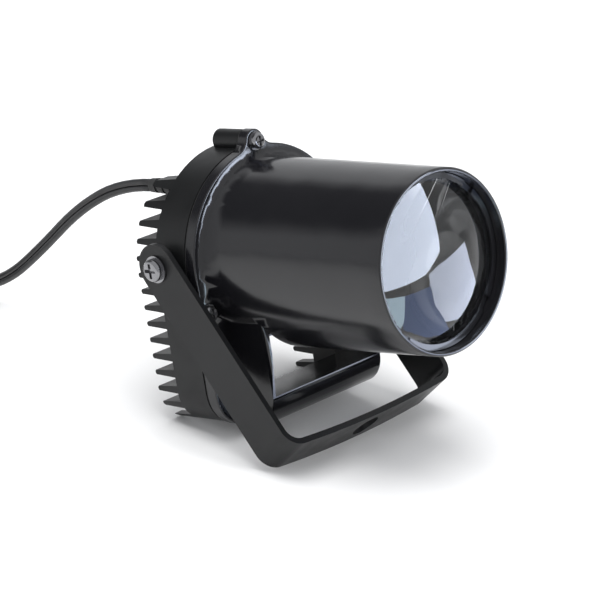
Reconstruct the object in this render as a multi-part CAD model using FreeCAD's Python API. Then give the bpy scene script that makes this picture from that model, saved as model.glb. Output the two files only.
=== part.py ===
"""Small LED spotlight on a U-shaped yoke, in millimetres.

The lamp is built in its own frame: X along the beam, Y to the left, Z up, with zero on the beam axis at
the flange's front face. It is then tipped back until it stands on its yoke and its lowest fin.
"""
import FreeCAD
import Part
import math
import os

V = FreeCAD.Vector
origin = V(0, 0, 0)
along_x = V(1, 0, 0)
along_y = V(0, 1, 0)
along_z = V(0, 0, 1)

# One overrun for every cut
overrun = 1.0

# Barrel
barrel_length = 81.5
barrel_rim_radius = 31.5
barrel_root_radius = 32.9
barrel_wall = 2.5
rim_wall = 1.6
rim_round = 0.5

# Lens and what holds it
lens_fit = 0.3
lens_edge = 3.2
lens_crown = 5.6
lens_apex_recess = 0.4
lens_shoulder = 3.2
lens_shoulder_depth = 2.5
seal_thickness = 0.8
seal_inset = 0.4
ring_thickness = 2.0
ring_width = 2.0
ring_notches = 4
ring_notch_width = 5.0
ring_notch_depth = 1.0

# Flange and its screws
flange_ledge = 4.5
flange_thickness = 4.2
flange_bottom = 55.7
flange_corner = 14.0
flange_edge_round = 0.6
lug_outset = 1.8
side_lug_inset = 2.8
side_lug_drop = 13.0
lug_radius = 4.2
lug_blend = 6.0
gasket_thickness = 0.8
gasket_inset = 0.4
screw_radius = 1.5
screw_hole_gap = 0.05
screw_head_radius = 2.8
screw_head_height = 2.1
screw_length = 11.0
screw_tip_room = 1.0
washer_radius = 3.3
washer_thickness = 0.5
cross_width_share = 0.3
cross_length_share = 1.3
cross_depth_share = 0.5

# Bore behind the barrel and the loop under its root
bore_radius = 23.6
loop_length = 16.9
loop_side_gap = 2.0
loop_top = 5.0
loop_sill = 44.3
loop_wall = 3.0
loop_foot_wall = 1.4
chin_round = 11.0
chin_wall = 2.4

# Housing
housing_depth = 14.5
housing_inset = 0.7
housing_wall = 3.0
housing_side_wall = 3.8
cheek_width = 8.4
passage_wall = 5.4
passage_corner = 5.0
cavity_floor_wall = 2.6
boss_length = 13.5
boss_inset = 0.3
boss_chamfer = 1.2
pedestal_radius = 13.0

# Fins
fin_count = 15
fin_pitch = 5.85
fin_lowest = 52.85
fin_length = 9.8
fin_root_thickness = 2.9
fin_tip_thickness = 1.7
fin_tip_bulge = 0.5

# Pivot and yoke
pivot_back = 14.4
pivot_up = 4.0
pivot_boss_radius = 5.0
pivot_boss_reach = 1.2
friction_washer_thickness = 0.9
friction_washer_radius = 5.0
pivot_gap = 0.1
pivot_screw_radius = 2.0
pivot_hole_gap = 0.08
pivot_head_radius = 4.0
pivot_head_height = 2.4
pivot_screw_length = 7.6
pivot_washer_radius = 4.8
pivot_washer_thickness = 0.7
yoke_width = 17.4
yoke_thickness = 2.0
yoke_reach = 78.4
yoke_bow = 1.8
yoke_bend = 7.0
yoke_angle = 35.0
hang_hole_radius = 5.25

# Light engine
star_radius = 10.0
star_thickness = 1.6
star_notches = 6
star_notch_radius = 1.6
star_screw_radius = 1.2
star_screw_head_radius = 1.5
star_screw_head = 1.2
star_screw_length = 5.0
thermal_pad_thickness = 0.4
emitter_base = 3.4
emitter_base_height = 0.8
emitter_dome_radius = 1.5
collimator_front_radius = 10.4
collimator_back_radius = 4.6
collimator_length = 11.0
collimator_rim = 1.5
collimator_pocket_radius = 2.2
collimator_pocket_depth = 3.0
holder_wall = 1.0
holder_gap = 0.15
holder_foot = 2.4
holder_foot_gap = 0.2

# Driver
driver_width = 24.0
driver_side = 5.4
driver_board_thickness = 1.6
driver_gap = 1.3
driver_rise = 1.6
driver_post = 1.2
driver_post_radius = 2.0
driver_screw_radius = 1.0
driver_screw_head_radius = 1.8
driver_screw_head = 1.0
driver_screw_inset = 2.6
transformer_width = 8.0
transformer_margin = 2.5
transformer_depth = 5.6
capacitor_radius = 2.0
capacitor_length = 5.4
capacitor_spacing = 3.6
wire_radius = 0.6
wire_spacing = 2.4
wire_bow = 2.6
wire_lift = 0.1

# Cord, its gland and its plug
cord_width = 4.6
gland_rim = 4.65
gland_angle = 61.5
gland_hole_radius = 3.0
gland_hole_gap = 0.05
gland_flange_radius = 4.4
gland_flange = 1.4
gland_nut_thickness = 1.8
gland_nut_across = 7.6
relief_root_radius = 3.5
relief_tip_radius = 2.5
relief_length = 20.0
relief_grooves = 4
relief_groove_width = 1.4
relief_groove_depth = 0.5
fin_clearance = 0.9
coil_radius = 31.7
coil_pitch = 5.3
coil_layer_half_turns = 5
coil_layer_rise = 5.1
coil_tail = 26.0
least_coil_gap = 0.4
plug_length = 24.0
plug_width = 22.0
plug_round = 3.0
plug_neck_length = 12.0
plug_neck_radius = 4.2
blade_length = 17.5
blade_height = 6.3
blade_thickness = 1.5
blade_spacing = 12.7
blade_root = 3.0
blade_fit = 0.05

# The cord's free stretch, point by point, from the strain relief down to the coil, as the lamp stands
cord_route = [
    (-65.847, -13.814, 74.0246),
    (-81.392, -13.814, 70.2353),
    (-105.0, -13.6, 54.0),
    (-126.0, -13.0, 32.0),
    (-147.0, -12.2, 12.5),
    (-170.0, -11.8, 2.3),
    (-184.0, -11.8, 2.3),
]
arc_share = 0.45

# Derived widths and radii
flange_radius = barrel_root_radius + flange_ledge
cavity_radius = flange_radius - housing_side_wall
passage_half_width = flange_radius - cheek_width
passage_roof = bore_radius + passage_wall
loop_half_width = passage_half_width - loop_side_gap
housing_bottom = flange_bottom - housing_inset
housing_corner = flange_corner - housing_inset
boss_radius = lug_radius - boss_inset
gland_side = (cavity_radius - gland_rim) * math.cos(math.radians(gland_angle))
gland_up = (cavity_radius - gland_rim) * math.sin(math.radians(gland_angle))
driver_low = pedestal_radius + driver_rise
driver_corner = driver_side + driver_width / 2
driver_top = math.sqrt((cavity_radius - driver_gap) ** 2 - driver_corner**2)
driver_height = driver_top - driver_low
transformer_height = driver_height - 2 * transformer_margin

# Derived places along the beam axis
flange_back = -flange_thickness
housing_front = flange_back - gasket_thickness
housing_back = housing_front - housing_depth
cavity_back = housing_back + housing_wall
fin_tip = housing_back - fin_length
lens_front = barrel_length - lens_apex_recess - lens_crown
lens_back = lens_front - lens_edge
seat_face = lens_back - seal_thickness
pocket_radius = barrel_rim_radius - rim_wall
lens_radius = pocket_radius - lens_fit
seat_bore = pocket_radius - lens_shoulder
cavity_floor = passage_roof - cavity_floor_wall
cord_radius = cord_width / 2
plug_thickness = cord_width + 2 * coil_layer_rise
pedestal_front = housing_front - star_thickness - thermal_pad_thickness
screw_hole_radius = screw_radius + screw_hole_gap
pivot = V(-pivot_back, 0, pivot_up)
pivot_face = flange_radius + pivot_boss_reach
yoke_inner = pivot_face + friction_washer_thickness + pivot_gap
yoke_outer = yoke_inner + yoke_thickness
pivot_washer_face = yoke_outer + pivot_gap
pivot_head_face = pivot_washer_face + pivot_washer_thickness
pivot_hole_radius = pivot_screw_radius + pivot_hole_gap


# Basic shapes
def rod(radius, start, end, y=0.0, z=0.0):
    return Part.makeCylinder(radius, abs(end - start), V(min(start, end), y, z), along_x)


def pipe(outer, inner, start, end, y=0.0, z=0.0):
    bore = rod(inner, min(start, end) - overrun, max(start, end) + overrun, y, z)
    return rod(outer, start, end, y, z).cut(bore)


def side_rod(radius, start, end, x, z):
    return Part.makeCylinder(radius, abs(end - start), V(x, min(start, end), z), along_y)


def block(x_range, y_range, z_range):
    size = [high - low for low, high in (x_range, y_range, z_range)]
    return Part.makeBox(size[0], size[1], size[2], V(x_range[0], y_range[0], z_range[0]))


def prism(edges, start, end):
    """Extrudes an outline drawn in the YZ plane from start to end along X."""
    face = Part.Face(Part.Wire(edges))
    face.translate(V(start, 0, 0))
    return face.extrude(V(end - start, 0, 0))


def line(a, b):
    return Part.LineSegment(a, b).toShape()


def arc(a, middle, b):
    return Part.Arc(a, middle, b).toShape()


def corner_arc(centre, radius, start_angle, end_angle):
    """A quarter circle in the YZ plane, with angles in degrees from +Y towards +Z."""
    points = []
    for angle in (start_angle, (start_angle + end_angle) / 2, end_angle):
        turn = math.radians(angle)
        points.append(centre + V(0, radius * math.cos(turn), radius * math.sin(turn)))
    return arc(*points)


def tombstone(radius, bottom, corner, start, end):
    """A plate with a half-round top, straight sides and two rounded lower corners."""
    low = -bottom
    edges = [
        arc(V(0, -radius, 0), V(0, 0, radius), V(0, radius, 0)),
        line(V(0, radius, 0), V(0, radius, low + corner)),
        corner_arc(V(0, radius - corner, low + corner), corner, 0, -90),
        line(V(0, radius - corner, low), V(0, corner - radius, low)),
        corner_arc(V(0, corner - radius, low + corner), corner, -90, -180),
        line(V(0, -radius, low + corner), V(0, -radius, 0)),
    ]
    return prism(edges, start, end)


def chin(half_width, bottom, top, rounding, start, end):
    """A block across the lamp, from -bottom up to top, with its front lower edge rounded."""
    low = V(end - rounding, -half_width, -bottom)
    front = V(end, -half_width, rounding - bottom)
    turn = math.sqrt(1 / 2)
    middle = V(end - rounding + rounding * turn, -half_width, rounding - bottom - rounding * turn)
    edges = [
        line(V(start, -half_width, top), V(start, -half_width, -bottom)),
        line(V(start, -half_width, -bottom), low),
        arc(low, middle, front),
        line(front, V(end, -half_width, top)),
        line(V(end, -half_width, top), V(start, -half_width, top)),
    ]
    return Part.Face(Part.Wire(edges)).extrude(V(0, 2 * half_width, 0))


def arch(half_width, low, roof, corner, start, end):
    """A passage with two rounded upper corners, from -low up to -roof."""
    edges = [
        line(V(0, half_width, -low), V(0, -half_width, -low)),
        line(V(0, -half_width, -low), V(0, -half_width, -roof - corner)),
        corner_arc(V(0, corner - half_width, -roof - corner), corner, 180, 90),
        line(V(0, corner - half_width, -roof), V(0, half_width - corner, -roof)),
        corner_arc(V(0, half_width - corner, -roof - corner), corner, 90, 0),
        line(V(0, half_width, -roof - corner), V(0, half_width, -low)),
    ]
    return prism(edges, start, end)


def turned(profile):
    """Revolves a closed outline of (x, radius) points round the beam axis."""
    points = [V(x, 0, radius) for x, radius in profile]
    wire = Part.makePolygon(points + points[:1])
    return Part.Face(wire).revolve(origin, along_x, 360)


def join(shapes):
    whole = shapes[0]
    for shape in shapes[1:]:
        whole = whole.fuse(shape)
    return whole.removeSplitter()


def group(shapes):
    return Part.makeCompound(shapes)


def lug_places():
    """The lug centres: one straight up and one low on each side."""
    side = flange_radius - side_lug_inset
    yield 0.0, flange_radius + lug_outset
    yield side, -side_lug_drop
    yield -side, -side_lug_drop


def edges_near(shape, test):
    return [edge for edge in shape.Edges if test(edge.CenterOfMass)]


def blended(plate):
    """Rounds the hollow corners where the top lug leaves the plate's round outline."""
    def at_lug(centre):
        from_axis = math.hypot(centre.y, centre.z)
        near_lug = abs(centre.y) < lug_radius + overrun
        return abs(from_axis - flange_radius) < screw_hole_gap and centre.z > lug_radius and near_lug

    middle = (plate.BoundBox.XMin + plate.BoundBox.XMax) / 2
    hollow = [
        edge
        for edge in edges_near(plate, at_lug)
        if abs(edge.CenterOfMass.x - middle) < screw_hole_gap
    ]
    return plate.makeFillet(lug_blend, hollow) if len(hollow) == 2 else plate


def lugged_plate(radius, bottom, corner, lug, start, end):
    plate = tombstone(radius, bottom, corner, start, end)
    for y, z in lug_places():
        plate = plate.fuse(rod(lug, start, end, y, z))
    return plate.removeSplitter()


def cross_recess(radius, height, top):
    """A cross-shaped driver recess, cut from top down along -X."""
    width = radius * cross_width_share
    length = radius * cross_length_share
    depth = height * cross_depth_share
    cuts = []
    for y_size, z_size in ((width, length), (length, width)):
        y_range = (-y_size / 2, y_size / 2)
        z_range = (-z_size / 2, z_size / 2)
        cuts.append(block((top - depth, top + overrun), y_range, z_range))
    return cuts[0].fuse(cuts[1])


def pan_screw(radius, head_radius, head_height, length):
    """A pan-head screw along -X with its head's underside at x = 0."""
    dome = head_height * cross_depth_share
    profile = [
        V(-length, 0, 0),
        V(-length, 0, radius),
        V(0, 0, radius),
        V(0, 0, head_radius),
        V(head_height - dome, 0, head_radius),
    ]
    edges = [line(a, b) for a, b in zip(profile, profile[1:])]
    shoulder = V(head_height - dome * cross_width_share, 0, head_radius - dome * cross_width_share)
    edges.append(arc(profile[-1], shoulder, V(head_height, 0, head_radius - dome)))
    edges.append(line(V(head_height, 0, head_radius - dome), V(head_height, 0, 0)))
    edges.append(line(V(head_height, 0, 0), profile[0]))
    body = Part.Face(Part.Wire(edges)).revolve(origin, along_x, 360)
    return body.cut(cross_recess(head_radius, head_height, head_height))


def placed(shape, place, axis=along_x):
    """Turns a shape built along X so that it runs along axis, then moves it to place."""
    copy = shape.copy()
    turn = FreeCAD.Rotation(along_x, axis)
    copy.Placement = FreeCAD.Placement(place, turn).multiply(copy.Placement)
    return copy


# Barrel cover
def barrel_tube():
    inner_root = barrel_root_radius - barrel_wall
    chamfer_back = seat_face - lens_shoulder_depth - lens_shoulder
    profile = [
        (0, inner_root),
        (0, barrel_root_radius),
        (barrel_length - rim_round, barrel_rim_radius),
        (barrel_length, barrel_rim_radius - rim_round),
        (barrel_length, pocket_radius + rim_round),
        (barrel_length - rim_round, pocket_radius),
        (seat_face, pocket_radius),
        (seat_face, seat_bore),
        (seat_face - lens_shoulder_depth, seat_bore),
        (chamfer_back, inner_root - lens_fit),
    ]
    return turned(profile)


def tunnel(start, end):
    """The open way through the loop, a little wider at its sill than at its top."""
    head = loop_half_width - loop_wall
    foot = loop_half_width - loop_foot_wall
    points = [
        V(start, -head, 0),
        V(start, head, 0),
        V(start, head, -passage_roof),
        V(start, foot, -loop_sill),
        V(start, -foot, -loop_sill),
        V(start, -head, -passage_roof),
    ]
    wire = Part.makePolygon(points + points[:1])
    return Part.Face(wire).extrude(V(end - start, 0, 0))


def plate_window(start, end):
    """The part of the open way that goes through the flange, clear of the barrel."""
    heights = (-loop_sill, -passage_roof)
    below = block((start, end), (-passage_half_width, passage_half_width), heights)
    return tunnel(start, end).common(below).cut(rod(barrel_root_radius, start, end))


def loop_block():
    """The loop under the barrel's root: two side walls and a chin."""
    outer = chin(
        loop_half_width, flange_bottom, -loop_top, chin_round, -flange_edge_round, loop_length
    )
    ends = (-overrun, loop_length + overrun)
    return outer.cut(tunnel(*ends)).cut(rod(barrel_root_radius - barrel_wall / 2, *ends))


def chin_hollow():
    """The space inside the chin, open at the flange's back."""
    half_width = loop_half_width - chin_wall
    bottom = flange_bottom - chin_wall
    start = flange_back - overrun
    end = loop_length - chin_wall
    space = chin(half_width, bottom, 0, chin_round - chin_wall, start, end)
    heights = (-bottom, -loop_sill - chin_wall)
    return space.common(block((start, end), (-half_width, half_width), heights))


def flange_plate():
    plate = blended(
        lugged_plate(flange_radius, flange_bottom, flange_corner, lug_radius, flange_back, 0)
    )
    rim = [edge for edge in plate.Edges if abs(edge.BoundBox.XMin) < screw_hole_gap]
    return plate.makeFillet(flange_edge_round, rim)


def barrel_cover():
    ends = (flange_back - overrun, overrun)
    cover = join([flange_plate(), barrel_tube(), loop_block()])
    cover = cover.cut(plate_window(*ends)).cut(chin_hollow()).cut(rod(bore_radius, *ends))
    for y, z in lug_places():
        cover = cover.cut(rod(screw_hole_radius, *ends, y, z))
    return cover


# Lens and its fixings
def lens():
    sphere = (lens_radius**2 + lens_crown**2) / (2 * lens_crown)
    centre = lens_front + lens_crown - sphere
    ball = Part.makeSphere(sphere, V(centre, 0, 0))
    crown = ball.common(rod(lens_radius, lens_back, lens_front + lens_crown + overrun))
    return crown


def lens_seal():
    return pipe(pocket_radius - seal_inset, seat_bore, seat_face, lens_back)


def lens_retaining_ring():
    outer = pocket_radius - lens_fit
    inner = pocket_radius - ring_width - lens_fit
    ring = pipe(outer, inner, lens_front, lens_front + ring_thickness)
    face = lens_front + ring_thickness - ring_notch_depth
    for step in range(ring_notches):
        notch = block(
            (face, lens_front + ring_thickness + overrun),
            (-ring_notch_width / 2, ring_notch_width / 2),
            (inner - overrun, outer + overrun),
        )
        notch.rotate(origin, along_x, (step + 1 / 2) * 360 / ring_notches)
        ring = ring.cut(notch)
    sphere = (lens_radius**2 + lens_crown**2) / (2 * lens_crown) + lens_fit / 2
    centre = lens_front + lens_crown - sphere + lens_fit / 2
    return ring.cut(Part.makeSphere(sphere, V(centre, 0, 0)))


# Flange screws, washers and gasket
def flange_washers():
    return group(
        [pipe(washer_radius, screw_hole_radius, 0, washer_thickness, y, z) for y, z in lug_places()]
    )


def flange_screws():
    screw = pan_screw(screw_radius, screw_head_radius, screw_head_height, screw_length)
    return group([placed(screw, V(washer_thickness, y, z)) for y, z in lug_places()])


def cavity(start, end):
    """The hollow for the driver: a round space with a flat floor."""
    space = rod(cavity_radius, start, end)
    floor = block(
        (min(start, end) - overrun, max(start, end) + overrun),
        (-cavity_radius - overrun, cavity_radius + overrun),
        (-cavity_radius - overrun, -cavity_floor),
    )
    return space.cut(floor)


def passage(start, end):
    """The open way under the housing's cavity, between its two legs."""
    low = flange_bottom + overrun
    return arch(passage_half_width, low, passage_roof, passage_corner, start, end)


def flange_gasket():
    plate = lugged_plate(
        flange_radius - gasket_inset,
        flange_bottom - gasket_inset,
        flange_corner - gasket_inset,
        lug_radius - gasket_inset,
        housing_front,
        flange_back,
    )
    ends = (housing_front - overrun, flange_back + overrun)
    plate = plate.cut(passage(*ends)).cut(cavity(*ends).cut(lug_bosses(*ends, gasket_inset)))
    for y, z in lug_places():
        plate = plate.cut(rod(screw_hole_radius, ends[0], ends[1], y, z))
    return plate


# Heat-sink housing
def lug_bosses(start, end, inset=0.0):
    return group([rod(lug_radius - inset, start, end, y, z) for y, z in lug_places()])


def boss(y, z):
    """A screw boss with a chamfered back end."""
    back = housing_front - boss_length
    body = rod(boss_radius, back + boss_chamfer, housing_front, y, z)
    cone = Part.makeCone(
        boss_radius - boss_chamfer, boss_radius, boss_chamfer, V(back, y, z), along_x
    )
    return body.fuse(cone)


def fin(z):
    """One cooling fin across the whole width, thinner at its tip."""
    root = fin_root_thickness / 2
    tip = fin_tip_thickness / 2
    inside = housing_back + overrun
    reach = flange_radius + overrun
    shoulder = fin_tip + fin_tip_bulge
    points = [
        V(shoulder, -reach, z + tip),
        V(inside, -reach, z + root),
        V(inside, -reach, z - root),
        V(shoulder, -reach, z - tip),
    ]
    edges = [line(a, b) for a, b in zip(points, points[1:])]
    edges.append(arc(points[3], V(fin_tip, -reach, z), points[0]))
    return Part.Face(Part.Wire(edges)).extrude(V(0, 2 * reach, 0))


def fins():
    outline = tombstone(
        flange_radius, housing_bottom, housing_corner, fin_tip - overrun, housing_back + overrun
    )
    plates = group([fin(step * fin_pitch - fin_lowest) for step in range(fin_count)])
    return outline.common(plates)


def driver_places():
    for side in (-1, 1):
        y = driver_side + side * (driver_width / 2 - driver_screw_inset)
        yield y, driver_low + driver_screw_inset


def heatsink_housing():
    body = tombstone(flange_radius, housing_bottom, housing_corner, housing_back, housing_front)
    body = body.cut(cavity(cavity_back, housing_front + overrun))
    pieces = [body, fins(), rod(pedestal_radius, housing_back, pedestal_front)]
    pieces += [boss(y, z) for y, z in lug_places()]
    for side in (-1, 1):
        start = side * (cavity_radius + housing_wall / 2)
        pieces.append(
            side_rod(pivot_boss_radius, start, side * pivot_face, pivot.x, pivot.z)
        )
    for y, z in driver_places():
        pieces.append(rod(driver_post_radius, housing_back, cavity_back + driver_post, y, z))
    body = join(pieces)
    body = body.cut(passage(fin_tip - overrun, housing_front + overrun))
    for y, z in lug_places():
        bottom = washer_thickness - screw_length - screw_tip_room
        body = body.cut(rod(screw_hole_radius, bottom, housing_front + overrun, y, z))
    for side in (-1, 1):
        bottom = side * (pivot_head_face - pivot_screw_length - screw_tip_room)
        hole = side_rod(
            pivot_hole_radius, bottom, side * (pivot_face + overrun), pivot.x, pivot.z
        )
        body = body.cut(hole)
    gland_hole = rod(
        gland_hole_radius + gland_hole_gap,
        housing_back - overrun,
        cavity_back + overrun,
        -gland_side,
        gland_up,
    )
    clearance = rod(
        gland_flange_radius + fin_clearance,
        fin_tip - overrun,
        housing_back,
        -gland_side,
        gland_up,
    )
    body = body.cut(gland_hole).cut(clearance)
    for y, z in star_screw_places():
        bottom = housing_front - star_screw_length
        body = body.cut(rod(star_screw_radius + screw_hole_gap, bottom, pedestal_front, y, z))
    for y, z in driver_places():
        body = body.cut(
            rod(driver_screw_radius + screw_hole_gap, cavity_back, cavity_back + driver_post, y, z)
        )
    return body


# Light engine
def star_screw_places():
    """Two of the star board's notches hold its screws."""
    for side in (-1, 1):
        yield side * star_radius, 0.0


def led_board():
    board = rod(star_radius, housing_front - star_thickness, housing_front)
    for step in range(star_notches):
        turn = math.radians(step * 360 / star_notches)
        y = star_radius * math.cos(turn)
        z = star_radius * math.sin(turn)
        cut = rod(
            star_notch_radius, housing_front - star_thickness - overrun, housing_front + overrun, y, z
        )
        board = board.cut(cut)
    return board


def thermal_pad():
    radius = star_radius - star_notch_radius - star_screw_radius / 2
    return rod(radius, pedestal_front, housing_front - star_thickness)


def led_board_screws():
    screw = pan_screw(
        star_screw_radius, star_screw_head_radius, star_screw_head, star_screw_length
    )
    return group([placed(screw, V(housing_front, y, z)) for y, z in star_screw_places()])


def led_emitter():
    half = emitter_base / 2
    top = housing_front + emitter_base_height
    base = block((housing_front, top), (-half, half), (-half, half))
    dome = Part.makeSphere(emitter_dome_radius, V(top, 0, 0))
    return base.fuse(dome).common(rod(emitter_base, housing_front, top + emitter_dome_radius))


def collimator():
    start = housing_front + emitter_base_height + holder_gap
    end = start + collimator_length
    body = turned(
        [
            (start, 0),
            (start, collimator_back_radius),
            (end - collimator_rim, collimator_front_radius),
            (end, collimator_front_radius),
            (end, 0),
        ]
    )
    return body.cut(rod(collimator_pocket_radius, start - overrun, start + collimator_pocket_depth))


def collimator_holder():
    """A cup round the collimator on a short foot that stands on the star board."""
    start = housing_front
    lip = housing_front + emitter_base_height + holder_gap
    end = lip + collimator_length
    gap = holder_gap
    inner_front = collimator_front_radius + gap
    inner_back = collimator_back_radius + gap
    foot_radius = inner_back + holder_foot
    profile = [
        (start, inner_back),
        (start, foot_radius),
        (lip + holder_foot, foot_radius),
        (end - collimator_rim, inner_front + holder_wall),
        (end, inner_front + holder_wall),
        (end, inner_front),
        (end - collimator_rim - gap, inner_front),
        (lip, inner_back),
    ]
    return turned(profile)


# Driver
def board_range():
    back = cavity_back + driver_post
    return back, back + driver_board_thickness


def driver_board():
    back, front = board_range()
    left = driver_side - driver_width / 2
    sides = (left, left + driver_width)
    board = block((back, front), sides, (driver_low, driver_low + driver_height))
    for y, z in driver_places():
        board = board.cut(
            rod(driver_screw_radius + screw_hole_gap, back - overrun, front + overrun, y, z)
        )
    return board


def driver_board_screws():
    front = board_range()[1]
    length = driver_post + driver_board_thickness
    screw = pan_screw(driver_screw_radius, driver_screw_head_radius, driver_screw_head, length)
    return group([placed(screw, V(front, y, z)) for y, z in driver_places()])


def driver_transformer():
    front = board_range()[1]
    middle = driver_low + driver_height / 2
    core = block(
        (front, front + transformer_depth),
        (driver_side - transformer_width / 2, driver_side + transformer_width / 2),
        (middle - transformer_height / 2, middle + transformer_height / 2),
    )
    return core.makeChamfer(wire_radius, core.Edges[:4])


def driver_capacitors():
    front = board_range()[1]
    top = driver_low + driver_height - driver_screw_inset
    cans = []
    for side in (-1, 1):
        y = driver_side + side * (transformer_width / 2 + capacitor_spacing)
        cans.append(rod(capacitor_radius, front, front + capacitor_length, y, top - capacitor_radius))
    return group(cans)


def lead_wires():
    """Two wires that bow out from the driver board's lower edge to the star board."""
    wires = []
    start_x = board_range()[1] + wire_radius + wire_lift
    end_x = housing_front + wire_radius + wire_lift
    for side in (-1, 1):
        y = side * (wire_spacing / 2 + wire_radius)
        start = V(start_x, y, driver_low + wire_radius)
        end = V(end_x, y, star_radius - star_notch_radius)
        middle = (start + end) / 2 + V(wire_bow, 0, wire_bow)
        path = Part.Wire([arc(start, middle, end)])
        ring = Part.Circle(start, path.Edges[0].tangentAt(path.Edges[0].FirstParameter), wire_radius)
        wires.append(path.makePipeShell([Part.Wire([ring.toShape()])], True, False))
    return group(wires)


# Gland and strain relief
def cord_gland():
    inner = gland_nut_thickness + wire_lift
    body = rod(gland_hole_radius, housing_back, cavity_back + inner, -gland_side, gland_up)
    collar = rod(
        gland_flange_radius, housing_back - gland_flange, housing_back, -gland_side, gland_up
    )
    return body.fuse(collar).removeSplitter()


def gland_nut():
    radius = gland_nut_across / math.sqrt(3)
    points = []
    for step in range(6):
        turn = math.radians(step * 60)
        y = radius * math.cos(turn) - gland_side
        z = radius * math.sin(turn) + gland_up
        points.append(V(cavity_back, y, z))
    wire = Part.makePolygon(points + points[:1])
    nut = Part.Face(wire).extrude(V(gland_nut_thickness, 0, 0))
    bore = rod(
        gland_hole_radius + gland_hole_gap,
        cavity_back - overrun,
        cavity_back + gland_nut_thickness + overrun,
        -gland_side,
        gland_up,
    )
    return nut.cut(bore)


def relief_start():
    return housing_back - gland_flange


def relief_end():
    return relief_start() - relief_length


def strain_relief():
    """A tapered sleeve with a few grooves, so that it bends with the cord."""
    start = relief_start()
    end = relief_end()
    body = Part.makeCone(
        relief_tip_radius, relief_root_radius, relief_length, V(end, -gland_side, gland_up), along_x
    )
    step = relief_length / (relief_grooves + 1)
    slope = (relief_root_radius - relief_tip_radius) / relief_length
    for count in range(relief_grooves):
        centre = start - (count + 1) * step
        radius = relief_root_radius - (start - centre) * slope - relief_groove_depth
        groove = pipe(
            relief_root_radius + overrun,
            radius,
            centre - relief_groove_width / 2,
            centre + relief_groove_width / 2,
            -gland_side,
            gland_up,
        )
        body = body.cut(groove)
    return body


# Yoke and pivots
def yoke():
    """A steel strip bent to a U, drawn hanging straight down from the pivot, then swung forwards."""
    end_radius = yoke_width / 2
    low = -yoke_reach
    thick = yoke_thickness
    outer = yoke_outer
    inner = yoke_inner
    top = end_radius
    points = [
        V(0, -outer, top),
        V(0, -outer, low),
        V(0, outer, low),
        V(0, outer, top),
        V(0, inner, top),
        V(0, inner, low + thick),
        V(0, -inner, low + thick),
        V(0, -inner, top),
    ]
    edges = [
        line(points[0], points[1]),
        arc(points[1], V(0, 0, low - yoke_bow), points[2]),
        line(points[2], points[3]),
        line(points[3], points[4]),
        line(points[4], points[5]),
        arc(points[5], V(0, 0, low - yoke_bow + thick), points[6]),
        line(points[6], points[7]),
        line(points[7], points[0]),
    ]
    strip = prism(edges, -end_radius, end_radius)

    def bend_edges(half_width, height):
        def at_bend(centre):
            return (
                abs(abs(centre.y) - half_width) < screw_hole_gap
                and abs(centre.z - height) < screw_hole_gap
                and abs(centre.x) < screw_hole_gap
            )

        return edges_near(strip, at_bend)

    strip = strip.makeFillet(yoke_bend, bend_edges(outer, low))
    strip = strip.makeFillet(yoke_bend - thick, bend_edges(inner, low + thick))
    reach = outer + overrun
    ends = side_rod(end_radius, -reach, reach, 0, 0)
    legs = block(
        (-end_radius, end_radius), (-reach, reach), (low - yoke_bow - overrun, 0)
    )
    strip = strip.common(ends.fuse(legs))
    strip = strip.cut(side_rod(pivot_hole_radius, -reach, reach, 0, 0))
    hole = Part.makeCylinder(
        hang_hole_radius,
        yoke_bow + thick + 2 * overrun,
        V(0, 0, low - yoke_bow - overrun),
        along_z,
    )
    strip = strip.cut(hole)
    strip.rotate(origin, along_y, -yoke_angle)
    strip.translate(pivot)
    return strip


def each_side(make):
    """Two mirror-like copies of a stack along X, standing out from both pivots."""
    both = []
    for side in (-1, 1):
        both.append(placed(make(), pivot, V(0, side, 0)))
    return group(both)


def friction_washers():
    return each_side(
        lambda: pipe(
            friction_washer_radius,
            pivot_hole_radius,
            pivot_face,
            pivot_face + friction_washer_thickness,
        )
    )


def pivot_washers():
    return each_side(
        lambda: pipe(pivot_washer_radius, pivot_hole_radius, pivot_washer_face, pivot_head_face)
    )


def pivot_screws():
    def one():
        screw = pan_screw(
            pivot_screw_radius, pivot_head_radius, pivot_head_height, pivot_screw_length
        )
        screw.translate(V(pivot_head_face, 0, 0))
        return screw

    return each_side(one)


# Cord: the free stretch, the coil and the plug, as the lamp stands
def tangent_arc(start, corner, end):
    """The circular arc from start to end whose end tangents meet at corner."""
    middle = (start + end) / 2
    half_chord = (end - start).Length / 2
    rise = (corner - middle).Length
    turn = math.atan2(rise, half_chord)
    crown = middle + (corner - middle) * (half_chord * math.tan(turn / 2) / rise)
    return arc(start, crown, end)


def tube(edges, start, direction):
    """A round cord along a path, with its section square to the path's first edge."""
    ring = Part.Wire([Part.Circle(start, direction, cord_radius).toShape()])
    path = Part.Wire(edges)
    body = path.makePipeShell([ring], True, False)
    section = math.pi * cord_radius**2
    print("tube length", round(path.Length, 1), "volume", round(body.Volume, 1), end=" ")
    print("section times length", round(section * path.Length, 1))
    return body


def cord_lead():
    points = [V(*place) for place in cord_route]
    edges = []
    here = points[0]
    for before, corner, after in zip(points, points[1:], points[2:]):
        arriving = corner - before
        leaving = after - corner
        turn = arriving.getAngle(leaving)
        reach = arc_share * min(arriving.Length, leaving.Length)
        print("cord turn radius", round(reach / math.tan(turn / 2), 1))
        start = corner - arriving.normalize() * reach
        end = corner + leaving.normalize() * reach
        edges.append(line(here, start))
        edges.append(tangent_arc(start, corner, end))
        here = end
    edges.append(line(here, points[-1]))
    return tube(edges, points[0], points[1] - points[0])


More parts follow.
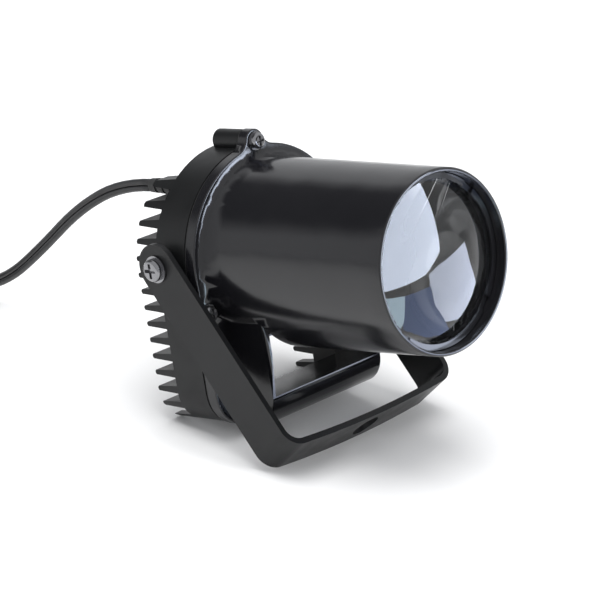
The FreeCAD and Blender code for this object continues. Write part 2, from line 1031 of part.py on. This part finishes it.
def coil_path():
    """Half turns that spiral in on the floor, climb one layer and spiral out again."""
    step = coil_pitch / 2
    radii = [coil_radius - count * step for count in range(coil_layer_half_turns + 1)]
    radii += radii[-2::-1]
    forward = V(-1, 0, 0)
    here = V(*cord_route[-1])
    after = here + forward * cord_width
    edges = [line(here, after)]
    here = after
    for count, radius in enumerate(radii):
        side = V(0, -2 * radius, 0) if count % 2 == 0 else V(0, 2 * radius, 0)
        climb = coil_layer_rise if count == coil_layer_half_turns else 0
        chord = side + V(0, 0, climb)
        reach = chord.Length / 2
        corner = here + forward * reach
        there = here + chord
        middle = (here + there) / 2 + forward * reach
        edges.append(tangent_arc(here, corner, middle))
        edges.append(tangent_arc(middle, there + forward * reach, there))
        forward = -forward
        here = there
    end = here + forward * coil_tail
    edges.append(line(here, end))
    return edges, end, forward


def least_gap(edges):
    """The smallest gap of the coil to itself, measured between points along its path."""
    points = []
    travelled = 0.0
    for edge in edges:
        steps = max(2, math.ceil(edge.Length / cord_radius))
        span = edge.Length / steps
        for point in edge.discretize(steps + 1)[:-1]:
            points.append((travelled, point))
            travelled += span
    apart = coil_radius
    closest = coil_radius
    for index, (place, point) in enumerate(points):
        for other_place, other in points[index + 1 :]:
            if other_place - place > apart:
                closest = min(closest, point.distanceToPoint(other))
    return closest - cord_width


def cord_coil():
    edges = coil_path()[0]
    gap = least_gap(edges)
    print("coil gap to itself", round(gap, 2), "enough", gap > least_coil_gap)
    return tube(edges, V(*cord_route[-1]), V(-1, 0, 0))


def plug_frame():
    """Where the plug's strain relief meets the cord; the plug runs along +X from there."""
    return coil_path()[1]


def plug_body():
    tip = plug_frame()
    neck = Part.makeCone(cord_radius, plug_neck_radius, plug_neck_length, tip, along_x)
    start = tip + V(plug_neck_length, -plug_width / 2, -plug_thickness / 2)
    body = Part.makeBox(plug_length, plug_width, plug_thickness, start)
    front = start.x + plug_length
    body = body.makeFillet(plug_round, edges_near(body, lambda c: c.x < front - cord_radius))
    for y in blade_places():
        body = body.cut(blade(y, -blade_fit))
    return body.fuse(neck).removeSplitter()


def blade_places():
    return (-blade_spacing / 2, blade_spacing / 2)


def blade(y, inset=0.0):
    """One flat blade; a negative inset gives the slot that it sits in."""
    face = plug_frame() + V(plug_neck_length + plug_length, y, 0)
    thick = blade_thickness - 2 * inset
    high = blade_height - 2 * inset
    corner = face + V(-blade_root, -thick / 2, -high / 2)
    return Part.makeBox(blade_root + blade_length, thick, high, corner)


def plug_blades():
    return group([blade(y) for y in blade_places()])


# Standing on the yoke and the lowest fin
def standing_angle():
    """The angle in degrees by which the lamp tips back to stand on its yoke and lowest fin."""
    swing = math.radians(yoke_angle)
    reach = yoke_reach + yoke_bow
    half = yoke_width / 2
    bar_x = pivot.x + reach * math.sin(swing) - half * math.cos(swing)
    bar_z = pivot.z - reach * math.cos(swing) - half * math.sin(swing)
    heels = [
        (fin_tip, -fin_lowest),
        (fin_tip + fin_tip_bulge, -fin_lowest - fin_tip_thickness / 2),
        (housing_back, -housing_bottom),
        (flange_back, -flange_bottom),
    ]
    return min(math.degrees(math.atan2(z - bar_z, bar_x - x)) for x, z in heels)


lamp_makers = {
    "barrel_cover": barrel_cover,
    "heatsink_housing": heatsink_housing,
    "flange_gasket": flange_gasket,
    "flange_screws": flange_screws,
    "flange_washers": flange_washers,
    "lens": lens,
    "lens_seal": lens_seal,
    "lens_retaining_ring": lens_retaining_ring,
    "led_board": led_board,
    "led_emitter": led_emitter,
    "thermal_pad": thermal_pad,
    "led_board_screws": led_board_screws,
    "collimator": collimator,
    "collimator_holder": collimator_holder,
    "driver_board": driver_board,
    "driver_board_screws": driver_board_screws,
    "driver_transformer": driver_transformer,
    "driver_capacitors": driver_capacitors,
    "lead_wires": lead_wires,
    "cord_gland": cord_gland,
    "gland_nut": gland_nut,
    "strain_relief": strain_relief,
    "yoke": yoke,
    "pivot_screws": pivot_screws,
    "pivot_washers": pivot_washers,
    "friction_washers": friction_washers,
}


floor_makers = {
    "cord_lead": cord_lead,
    "cord_coil": cord_coil,
    "plug_body": plug_body,
    "plug_blades": plug_blades,
}


def stand_up(shapes):
    """The placement that stands the lamp on the ground, centred over zero."""
    tip = FreeCAD.Rotation(along_y, -standing_angle())
    box = FreeCAD.BoundBox()
    for shape in shapes:
        copy = shape.copy()
        copy.Placement = FreeCAD.Placement(origin, tip).multiply(copy.Placement)
        box.add(copy.optimalBoundingBox(False))
    shift = V(-(box.XMin + box.XMax) / 2, -(box.YMin + box.YMax) / 2, -box.ZMin)
    return FreeCAD.Placement(shift, tip)


def main():
    os.makedirs("parts", exist_ok=True)
    shapes = {name: make() for name, make in lamp_makers.items()}
    stand = stand_up(shapes.values())
    for shape in shapes.values():
        shape.Placement = stand.multiply(shape.Placement)
    shapes.update({name: make() for name, make in floor_makers.items()})
    for name, shape in shapes.items():
        shape.exportStep("parts/" + name + ".step")
        solids = len(shape.Solids)
        print(name, "solids", solids, "valid", shape.isValid(), "volume", round(shape.Volume, 1))
    print("standing angle", round(standing_angle(), 2), "placement", stand)
    exit_point = stand.multVec(V(relief_end(), -gland_side, gland_up))
    print("cord leaves at", exit_point)
    return shapes, stand


model = main()
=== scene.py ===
import math

import bmesh
import bpy
from mathutils import Matrix, Quaternion, Vector


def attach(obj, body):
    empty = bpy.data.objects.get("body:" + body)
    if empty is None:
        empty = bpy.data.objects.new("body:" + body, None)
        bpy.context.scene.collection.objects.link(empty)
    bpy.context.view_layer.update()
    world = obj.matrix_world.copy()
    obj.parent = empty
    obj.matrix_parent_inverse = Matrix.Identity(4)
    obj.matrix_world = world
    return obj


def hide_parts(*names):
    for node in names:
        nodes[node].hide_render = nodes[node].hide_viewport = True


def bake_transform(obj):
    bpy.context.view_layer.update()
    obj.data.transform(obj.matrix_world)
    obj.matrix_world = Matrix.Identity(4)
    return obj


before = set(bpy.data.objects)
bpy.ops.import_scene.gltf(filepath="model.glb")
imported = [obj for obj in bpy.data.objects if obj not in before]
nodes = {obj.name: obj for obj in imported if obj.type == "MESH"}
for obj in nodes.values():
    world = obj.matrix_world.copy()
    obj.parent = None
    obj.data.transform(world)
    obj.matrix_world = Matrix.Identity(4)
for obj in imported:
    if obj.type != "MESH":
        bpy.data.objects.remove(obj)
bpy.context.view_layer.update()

# Looks of a small LED spotlight. Lengths are in metres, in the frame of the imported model.

bpy.ops.object.select_all(action="DESELECT")
scene = bpy.context.scene

# Camera: where the photograph was taken from, aimed at the middle of the lens
camera_place = Vector((0.65842, -0.70073, 0.46532))
lens_middle = Vector((0.0591, 0.0, 0.07829))
camera_roll = math.radians(2.03)
camera_lens = 181.7
camera_shift = (-0.2427, -0.0632)

# Cord: its route from the strain relief to the coil, then the coil and the tail to the plug
cord_width = 0.0046
cord_lobe = 0.00128
cord_route = [
    (-0.065847, -0.013814, 0.0740246),
    (-0.081392, -0.013814, 0.0702353),
    (-0.1050, -0.0136, 0.0540),
    (-0.1260, -0.0130, 0.0320),
    (-0.1470, -0.0122, 0.0125),
    (-0.1700, -0.0118, 0.0023),
    (-0.1840, -0.0118, 0.0023),
]
coil_radius = 0.0317
coil_pitch = 0.0053
coil_half_turns = 5
coil_rise = 0.0051
coil_tail = 0.026
points_per_half_turn = 8
# How near the two cores' circles the groove between them closes, and points round each core
groove_share = 0.92
core_steps = 14

# The lamp's own frame: X along the beam, zero on the axis at the flange's front face
lamp_tilt = math.radians(13.6992)
lamp_zero = Vector((-0.0200846, 0.0, 0.0589929))
lamp_place = Matrix.Translation(lamp_zero) @ Matrix.Rotation(-lamp_tilt, 4, "Y")

# The open way under the barrel, as the photograph shows it
way_half_top = 0.0240
way_half_sill = 0.0256
way_roof = -0.0290
way_sill = -0.0443
way_sill_back = -0.0468
way_back = -0.0052
way_front = 0.0175
light_tube_radius = 0.0256
light_tube_bore = 0.0236
bulkhead_front = 0.0200
bulkhead_radius = 0.0312
# Small overlaps, so that no two faces lie on each other where pieces are cut or fused
way_drop = 0.0001
window_overlap = 0.0002
tube_back = -0.0005
core_back = -0.001
core_front = 0.019
core_centre = 0.0001
turned_steps = 128

# Cards that the lens mirrors: name, direction, distance, corners, strength and tint
mirror_cards = [
    (
        "window_card", 22, 14.5, 0.8,
        [
            (-0.385, 0.300), (-0.312, -0.186), (-0.142, -0.274), (0.045, -0.282), (0.300, -0.282),
            (0.300, 0.300),
        ],
        15.5, (0.76, 0.84, 1.0),
    ),
    (
        "side_card", 54, -12, 0.13,
        [
            (0.055, 0.013), (0.031, 0.0195), (-0.024, 0.023), (-0.028, 0.000), (-0.047, -0.037),
            (-0.020, -0.050), (0.014, -0.050), (0.041, -0.027), (0.053, 0.000),
        ],
        8.5, (0.75, 0.82, 1.0),
    ),
    (
        "low_card", 18, -18, 0.15,
        [
            (0.075, 0.022), (0.047, 0.019), (0.016, 0.016), (0.000, 0.003), (0.017, -0.031),
            (0.060, -0.031),
        ],
        9.0, (0.68, 0.86, 1.0),
    ),
    (
        "table_card", 38, -22, 0.11,
        [
            (0.055, 0.015), (0.014, 0.018), (0.006, -0.004), (-0.027, -0.037), (0.009, -0.037),
            (0.049, -0.026),
        ],
        3.0, (0.50, 0.62, 1.0),
    ),
]

# Where the studio is dark, seen in the barrel's upper side
dark_side = Vector((-0.826, -0.154, 0.543)).normalized()

# Edges that meet more sharply than this stay sharp, in degrees
smooth_angle = 32

picture_size = 600


def new_piece(name, data):
    piece = bpy.data.objects.new(name, data)
    scene.collection.objects.link(piece)
    return piece


def make_camera():
    data = bpy.data.cameras.new("camera")
    data.lens = camera_lens
    data.sensor_width = 36.0
    data.shift_x, data.shift_y = camera_shift
    data.clip_end = 20.0
    camera = new_piece("camera", data)
    camera.location = camera_place
    aim = (lens_middle - camera_place).to_track_quat("-Z", "Y")
    camera.rotation_mode = "QUATERNION"
    camera.rotation_quaternion = aim @ Quaternion((0, 0, 1), camera_roll)
    scene.camera = camera


# Materials
def material(name):
    made = bpy.data.materials.new(name)
    made.use_nodes = True
    return made, made.node_tree.nodes, made.node_tree.links


def set_values(shader, **values):
    for name, value in values.items():
        shader.inputs[name.replace("_", " ")].default_value = value


def noise(tree_nodes, tree_links, scale, detail=3.0, roughness=0.5, stretch=(1, 1, 1)):
    """A noise pattern on the piece's own coordinates, scale in repeats per metre."""
    place = tree_nodes.new("ShaderNodeTexCoord")
    turn = tree_nodes.new("ShaderNodeMapping")
    turn.inputs["Scale"].default_value = stretch
    made = tree_nodes.new("ShaderNodeTexNoise")
    made.inputs["Scale"].default_value = scale
    made.inputs["Detail"].default_value = detail
    made.inputs["Roughness"].default_value = roughness
    tree_links.new(place.outputs["Object"], turn.inputs["Vector"])
    tree_links.new(turn.outputs["Vector"], made.inputs["Vector"])
    return made.outputs["Fac"]


def spread(tree_nodes, tree_links, source, low, high, from_low=0.3, from_high=0.7):
    """Maps a pattern onto the range from low to high."""
    made = tree_nodes.new("ShaderNodeMapRange")
    made.inputs["From Min"].default_value = from_low
    made.inputs["From Max"].default_value = from_high
    made.inputs["To Min"].default_value = low
    made.inputs["To Max"].default_value = high
    tree_links.new(source, made.inputs["Value"])
    return made.outputs["Result"]


def bump(tree_nodes, tree_links, source, strength, distance):
    made = tree_nodes.new("ShaderNodeBump")
    made.inputs["Strength"].default_value = strength
    made.inputs["Distance"].default_value = distance
    tree_links.new(source, made.inputs["Height"])
    return made.outputs["Normal"]


def two_colours(tree_nodes, tree_links, source, first, second, target):
    """Mixes two close colours by a pattern."""
    mix = tree_nodes.new("ShaderNodeMix")
    mix.data_type = "RGBA"
    mix.inputs["A"].default_value = (*first, 1)
    mix.inputs["B"].default_value = (*second, 1)
    tree_links.new(source, mix.inputs["Factor"])
    tree_links.new(mix.outputs["Result"], target)


def surface(
    name,
    dark,
    light,
    rough=(0.3, 0.4),
    patch=60,
    grain=3000,
    grain_strength=0.1,
    grain_depth=0.00003,
    metallic=0.0,
    coat=0.0,
    ior=1.5,
    specular=0.5,
):
    """A finish with faint cloudy changes of colour and gloss, and a fine grain."""
    made, tree_nodes, tree_links = material(name)
    shader = tree_nodes["Principled BSDF"]
    set_values(shader, Metallic=metallic, Coat_Weight=coat, Coat_Roughness=0.08, IOR=ior)
    shader.inputs["Specular IOR Level"].default_value = specular
    clouds = noise(tree_nodes, tree_links, patch)
    two_colours(tree_nodes, tree_links, clouds, dark, light, shader.inputs["Base Color"])
    gloss = noise(tree_nodes, tree_links, patch * 3, detail=6)
    tree_links.new(
        spread(tree_nodes, tree_links, gloss, *rough), shader.inputs["Roughness"]
    )
    fine = noise(tree_nodes, tree_links, grain, detail=2)
    tree_links.new(
        bump(tree_nodes, tree_links, fine, grain_strength, grain_depth), shader.inputs["Normal"]
    )
    return made


def glossy_black():
    return surface(
        "glossy_black", (0.006, 0.006, 0.0075), (0.009, 0.009, 0.0105), rough=(0.13, 0.19),
        patch=40, grain=900, grain_strength=0.04, grain_depth=0.00002,
    )


def casting_paint():
    return surface(
        "casting_paint", (0.005, 0.0052, 0.0056), (0.007, 0.0074, 0.0078), rough=(0.36, 0.46),
        patch=50, grain=2600, grain_strength=0.25, grain_depth=0.00004, specular=0.28,
    )


def yoke_paint():
    return surface(
        "yoke_paint", (0.005, 0.0052, 0.0058), (0.0075, 0.0078, 0.0085), rough=(0.30, 0.40),
        patch=45, grain=2200, grain_strength=0.18, grain_depth=0.00003, specular=0.28,
    )


def matt_black():
    return surface(
        "matt_black", (0.010, 0.010, 0.011), (0.016, 0.016, 0.017), rough=(0.5, 0.62), patch=80,
    )


def rubber():
    return surface(
        "rubber", (0.018, 0.018, 0.018), (0.026, 0.026, 0.026), rough=(0.6, 0.75), patch=90,
    )


def chrome():
    return surface(
        "chrome", (0.22, 0.22, 0.23), (0.30, 0.30, 0.31), rough=(0.16, 0.26), patch=200,
        grain=1800, grain_strength=0.06, metallic=1.0,
    )


def brass():
    return surface(
        "nickel_on_brass", (0.62, 0.58, 0.46), (0.72, 0.68, 0.54), rough=(0.2, 0.32), patch=160,
        metallic=1.0,
    )


def cord_rubber():
    return surface(
        "cord_rubber", (0.015, 0.015, 0.016), (0.022, 0.022, 0.023), rough=(0.38, 0.5), patch=70,
        grain=2400, grain_strength=0.12,
    )


def board_white():
    return surface(
        "board_white", (0.74, 0.74, 0.72), (0.82, 0.82, 0.80), rough=(0.3, 0.4), patch=120,
    )


def board_green():
    return surface(
        "board_green", (0.02, 0.10, 0.045), (0.03, 0.14, 0.06), rough=(0.25, 0.35), patch=150,
    )


def component_dark():
    return surface(
        "component_dark", (0.02, 0.02, 0.024), (0.035, 0.034, 0.04), rough=(0.4, 0.55), patch=200,
    )


def phosphor():
    return surface(
        "phosphor", (0.72, 0.56, 0.12), (0.82, 0.66, 0.18), rough=(0.15, 0.25), patch=400, coat=1.0,
    )


def clear(name, tint, ior, rough):
    """Clear glass or acrylic, with the faintest clouding."""
    made, tree_nodes, tree_links = material(name)
    shader = tree_nodes["Principled BSDF"]
    set_values(shader, Transmission_Weight=1.0, IOR=ior)
    shader.inputs["Base Color"].default_value = (*tint, 1)
    clouds = noise(tree_nodes, tree_links, 40)
    tree_links.new(
        spread(tree_nodes, tree_links, clouds, rough, rough + 0.01), shader.inputs["Roughness"]
    )
    return made


finishes = {
    glossy_black: ["barrel_cover", "lens_retaining_ring"],
    casting_paint: ["heatsink_housing"],
    yoke_paint: ["yoke"],
    matt_black: ["collimator_holder", "plug_body"],
    rubber: [
        "flange_gasket", "lens_seal", "thermal_pad", "friction_washers", "cord_gland", "gland_nut",
        "strain_relief",
    ],
    chrome: [
        "flange_screws", "flange_washers", "pivot_screws", "pivot_washers", "led_board_screws",
        "driver_board_screws",
    ],
    brass: ["plug_blades"],
    cord_rubber: ["lead_wires", "cord_lead", "cord_coil"],
    board_white: ["led_board"],
    board_green: ["driver_board"],
    component_dark: ["driver_transformer", "driver_capacitors"],
    phosphor: ["led_emitter"],
}


def give(piece, finish):
    piece.data.materials.clear()
    piece.data.materials.append(finish)


def shown(name):
    """The piece that shows a node: its smooth copy where there is one."""
    return bpy.data.objects.get(name + "_smooth") or nodes[name]


def dress_nodes():
    for make, names in finishes.items():
        finish = make()
        for name in names:
            give(shown(name), finish)
    glass = clear("lens_glass", (0.96, 0.98, 1.0), 1.52, 0.0)
    acrylic = clear("collimator_acrylic", (0.95, 0.97, 1.0), 1.49, 0.02)
    give(shown("lens"), glass)
    give(nodes["collimator"], acrylic)


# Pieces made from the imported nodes, with shared edges so that their curves shade smoothly
def smooth_copy(name, body):
    source = nodes[name]
    piece = new_piece(name + "_smooth", source.data.copy())
    shape = bmesh.new()
    shape.from_mesh(piece.data)
    bmesh.ops.remove_doubles(shape, verts=shape.verts, dist=0.000001)
    shape.to_mesh(piece.data)
    shape.free()
    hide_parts(name)
    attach(piece, body)
    return piece


def choose(piece):
    bpy.ops.object.select_all(action="DESELECT")
    piece.select_set(True)
    bpy.context.view_layer.objects.active = piece


def shade(piece, degrees):
    choose(piece)
    bpy.ops.object.shade_smooth_by_angle(angle=math.radians(degrees))


def combine(piece, other, operation):
    """Cuts the other piece out of this one, or fuses it with this one."""
    choose(piece)
    step = piece.modifiers.new("combine", "BOOLEAN")
    step.operation = operation
    step.solver = "EXACT"
    step.object = other
    bpy.ops.object.modifier_apply(modifier=step.name)
    bpy.data.objects.remove(other)


def rings_mesh(name, rings, closed=False):
    """A solid from rings of as many points each; closed joins the last ring to the first."""
    shape = bmesh.new()
    loops = [[shape.verts.new(point) for point in ring] for ring in rings]
    pairs = list(zip(loops, loops[1:]))
    if closed:
        pairs.append((loops[-1], loops[0]))
    for first, second in pairs:
        for place in range(len(first)):
            following = (place + 1) % len(first)
            shape.faces.new(
                (first[place], first[following], second[following], second[place])
            )
    if not closed:
        shape.faces.new(loops[0][::-1])
        shape.faces.new(loops[-1])
    bmesh.ops.recalc_face_normals(shape, faces=shape.faces)
    bmesh.ops.transform(shape, matrix=lamp_place, verts=shape.verts)
    mesh = bpy.data.meshes.new(name)
    shape.to_mesh(mesh)
    shape.free()
    return new_piece(name, mesh)


def way_ring(x, top, sill):
    """The open way's outline at one place along the beam, wider at its sill than at its top."""
    shoulder = min(top, way_roof) - way_drop
    return [
        (x, -way_half_top, top),
        (x, way_half_top, top),
        (x, way_half_top, shoulder),
        (x, way_half_sill, sill),
        (x, -way_half_sill, sill),
        (x, -way_half_top, shoulder),
    ]


def turned_mesh(name, profile):
    """A ring-shaped solid, turned round the beam axis from a closed profile of (x, radius) pairs."""
    rings = []
    for count in range(turned_steps):
        turn = 2 * math.pi * count / turned_steps
        rings.append([(x, r * math.sin(turn), r * math.cos(turn)) for x, r in profile])
    return rings_mesh(name, rings, closed=True)


def open_barrel():
    """The barrel cover with its underside cut away over the loop and a light tube inside."""
    cover = smooth_copy("barrel_cover", "head")
    way = rings_mesh(
        "way", [way_ring(0.0, 0.0, way_sill), way_ring(way_front, 0.0, way_sill)]
    )
    core = turned_mesh(
        "core",
        [
            (core_back, core_centre),
            (core_back, light_tube_radius),
            (core_front, light_tube_radius),
            (core_front, core_centre),
        ],
    )
    combine(way, core, "DIFFERENCE")
    combine(cover, way, "DIFFERENCE")
    window = rings_mesh(
        "window",
        [
            way_ring(way_back, way_roof, way_sill_back),
            way_ring(window_overlap, way_roof, way_sill),
        ],
    )
    combine(cover, window, "DIFFERENCE")
    tube = turned_mesh(
        "light_tube",
        [
            (tube_back, light_tube_bore),
            (tube_back, light_tube_radius),
            (way_front, light_tube_radius),
            (way_front, bulkhead_radius),
            (bulkhead_front, bulkhead_radius),
            (bulkhead_front, light_tube_bore),
        ],
    )
    combine(cover, tube, "UNION")
    shade(cover, smooth_angle)
    step = cover.modifiers.new("even_shading", "WEIGHTED_NORMAL")
    step.keep_sharp = True
    step.weight = 90
    choose(cover)
    bpy.ops.object.modifier_apply(modifier=step.name)


def smooth_pieces():
    open_barrel()
    for name, body, slot in (
        ("lens", "head", "lens_glass"),
        ("lens_retaining_ring", "head", "ring_black"),
        ("yoke", "yoke", "yoke_paint"),
    ):
        shade(smooth_copy(name, body), smooth_angle)


# Cord
def coil_points():
    """Points round the coil: half turns that spiral in, climb one layer and spiral out again."""
    step = coil_pitch / 2
    radii = [coil_radius - count * step for count in range(coil_half_turns + 1)]
    radii += radii[-2::-1]
    here = Vector(cord_route[-1]) + Vector((-cord_width, 0, 0))
    points = [here.copy()]
    spacing = math.pi / points_per_half_turn
    for count, radius in enumerate(radii):
        inward = -1 if count % 2 == 0 else 1
        centre = here + Vector((0, inward * radius, 0))
        climb = coil_rise if count == coil_half_turns else 0
        outside = radius / math.cos(spacing / 2)
        for place in range(points_per_half_turn):
            angle = (place + 1 / 2) * spacing
            share = (place + 1 / 2) / points_per_half_turn
            along = inward * outside * math.sin(angle)
            across = -inward * outside * math.cos(angle)
            points.append(centre + Vector((along, across, climb * share)))
        here = centre + Vector((0, inward * radius, climb))
    points.append(here.copy())
    points.append(here + Vector((coil_tail, 0, 0)))
    return points


def smooth_line(points):
    """The points of one smooth spline that takes the given points as its control points."""
    curve = bpy.data.curves.new("cord_route", "CURVE")
    curve.dimensions = "3D"
    curve.resolution_u = 6
    spline = curve.splines.new("NURBS")
    spline.points.add(len(points) - 1)
    for place, point in zip(spline.points, points):
        place.co = (*point, 1)
    spline.order_u = 3
    spline.use_endpoint_u = True
    holder = new_piece("cord_route", curve)
    mesh = bpy.data.meshes.new_from_object(holder)
    line = [vertex.co.copy() for vertex in mesh.vertices]
    bpy.data.objects.remove(holder)
    return line


def twin_section():
    """The cord's outline: two round cores side by side, as (across, up) pairs."""
    offset = cord_width / 2 - cord_lobe
    waist = math.acos(offset / cord_lobe) * groove_share
    reach = math.pi - waist
    outline = []
    for side in (1, -1):
        for place in range(core_steps + 1):
            turn = -reach + 2 * reach * place / core_steps
            across = cord_lobe * math.sin(turn) * side
            up = (offset + cord_lobe * math.cos(turn)) * side
            outline.append((across, up))
    return outline


def sweep(name, line, section):
    """A mesh of one section carried along a line, with its upright side kept upright."""
    shape = bmesh.new()
    rings = []
    travelled = 0.0
    lengths = []
    for index, point in enumerate(line):
        before = line[max(index - 1, 0)]
        after = line[min(index + 1, len(line) - 1)]
        forward = (after - before).normalized()
        side = forward.cross(Vector((0, 0, 1))).normalized()
        up = side.cross(forward)
        rings.append([shape.verts.new(point + side * a + up * b) for a, b in section])
        travelled += (point - before).length
        lengths.append(travelled)
    layer = shape.loops.layers.uv.new("along")
    count = len(section)
    for index in range(len(rings) - 1):
        for place in range(count):
            following = (place + 1) % count
            corners = [
                (rings[index][place], lengths[index], place),
                (rings[index][following], lengths[index], place + 1),
                (rings[index + 1][following], lengths[index + 1], place + 1),
                (rings[index + 1][place], lengths[index + 1], place),
            ]
            face = shape.faces.new([corner[0] for corner in corners])
            face.smooth = True
            for loop, corner in zip(face.loops, corners):
                loop[layer].uv = (corner[1] / cord_width, corner[2] / count)
    shape.faces.new(rings[0][::-1])
    shape.faces.new(rings[-1])
    bmesh.ops.recalc_face_normals(shape, faces=shape.faces)
    mesh = bpy.data.meshes.new(name)
    shape.to_mesh(mesh)
    shape.free()
    return new_piece(name, mesh)


def make_cord(finish):
    points = [Vector(place) for place in cord_route] + coil_points()
    line = smooth_line(points)
    cord = sweep("cord", line, twin_section())
    give(cord, finish)
    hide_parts("cord_lead", "cord_coil")
    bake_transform(cord)


# Floor, lights and surroundings
def make_floor():
    bpy.ops.mesh.primitive_plane_add(size=12, location=(0, 0, -0.0002))
    floor = bpy.context.object
    floor.name = "floor"
    made, tree_nodes, tree_links = material("floor_white")
    set_values(tree_nodes["Principled BSDF"], Roughness=0.9)
    tree_nodes["Principled BSDF"].inputs["Base Color"].default_value = (0.86, 0.86, 0.86, 1)
    give(floor, made)


def make_light(name, place, target, size, power):
    data = bpy.data.lights.new(name, "AREA")
    data.shape = "RECTANGLE"
    data.size, data.size_y = size
    data.energy = power
    light = new_piece(name, data)
    light.location = place
    light.rotation_mode = "QUATERNION"
    aim = Vector(target) - Vector(place)
    light.rotation_quaternion = aim.to_track_quat("-Z", "Y")
    return light


def make_world():
    world = bpy.data.worlds.new("surroundings")
    scene.world = world
    world.use_nodes = True
    tree_nodes = world.node_tree.nodes
    tree_links = world.node_tree.links
    background = tree_nodes["Background"]
    background.inputs["Color"].default_value = (0.80, 0.81, 0.83, 1)
    white = tree_nodes.new("ShaderNodeBackground")
    white.inputs["Color"].default_value = (1, 1, 1, 1)
    white.inputs["Strength"].default_value = 1.0
    place = tree_nodes.new("ShaderNodeTexCoord")
    towards = tree_nodes.new("ShaderNodeVectorMath")
    towards.operation = "DOT_PRODUCT"
    towards.inputs[1].default_value = dark_side
    tree_links.new(place.outputs["Generated"], towards.inputs[0])
    fade = spread(tree_nodes, tree_links, towards.outputs["Value"], 1.0, 0.12, 0.86, 0.95)
    tree_links.new(fade, background.inputs["Strength"])
    path = tree_nodes.new("ShaderNodeLightPath")
    mix = tree_nodes.new("ShaderNodeMixShader")
    tree_links.new(path.outputs["Is Camera Ray"], mix.inputs["Fac"])
    tree_links.new(background.outputs["Background"], mix.inputs[1])
    tree_links.new(white.outputs["Background"], mix.inputs[2])
    tree_links.new(mix.outputs["Shader"], tree_nodes["World Output"].inputs["Surface"])


def keep_from_mirrors(light):
    light.visible_glossy = False
    light.visible_transmission = False


def make_card(mirrors, name, turn, lift, distance, corners, strength, tint):
    """A glowing card that only mirrors see, placed by its direction from the lens in degrees.

    Its corners are (to the right, up) from its middle, looking out from the lens."""
    across, up_angle = math.radians(turn), math.radians(lift)
    away = Vector(
        (
            math.cos(up_angle) * math.cos(across),
            math.cos(up_angle) * math.sin(across),
            math.sin(up_angle),
        )
    )
    right = away.cross(Vector((0, 0, 1))).normalized()
    up = right.cross(away)
    middle = lens_middle + away * distance
    shape = bmesh.new()
    shape.faces.new([shape.verts.new(middle + right * a + up * b) for a, b in corners])
    mesh = bpy.data.meshes.new(name)
    shape.to_mesh(mesh)
    shape.free()
    card = new_piece(name, mesh)
    glow, tree_nodes, tree_links = material(name + "_glow")
    lamp = tree_nodes.new("ShaderNodeEmission")
    lamp.inputs["Color"].default_value = (*tint, 1)
    lamp.inputs["Strength"].default_value = strength
    tree_links.new(lamp.outputs["Emission"], tree_nodes["Material Output"].inputs["Surface"])
    give(card, glow)
    card.visible_camera = False
    card.visible_diffuse = False
    card.visible_transmission = False
    card.visible_shadow = False
    card.light_linking.receiver_collection = mirrors


def make_studio():
    make_floor()
    make_world()
    keep_from_mirrors(make_light("top_box", (0.0, -0.1, 1.1), (0, 0, 0.06), (1.0, 0.7), 12))
    keep_from_mirrors(make_light("right_box", (1.2, 0.4, 0.5), (0, 0, 0.06), (0.5, 0.9), 6))
    mirrors = bpy.data.collections.new("mirrors")
    for name in ("lens", "lens_retaining_ring", "barrel_cover"):
        mirrors.objects.link(shown(name))
    for card in mirror_cards:
        make_card(mirrors, *card)


make_camera()
smooth_pieces()
dress_nodes()
make_cord(nodes["cord_lead"].active_material)
make_studio()

scene.render.engine = "CYCLES"
scene.render.resolution_x = picture_size
scene.render.resolution_y = picture_size
scene.view_settings.view_transform = "Standard"
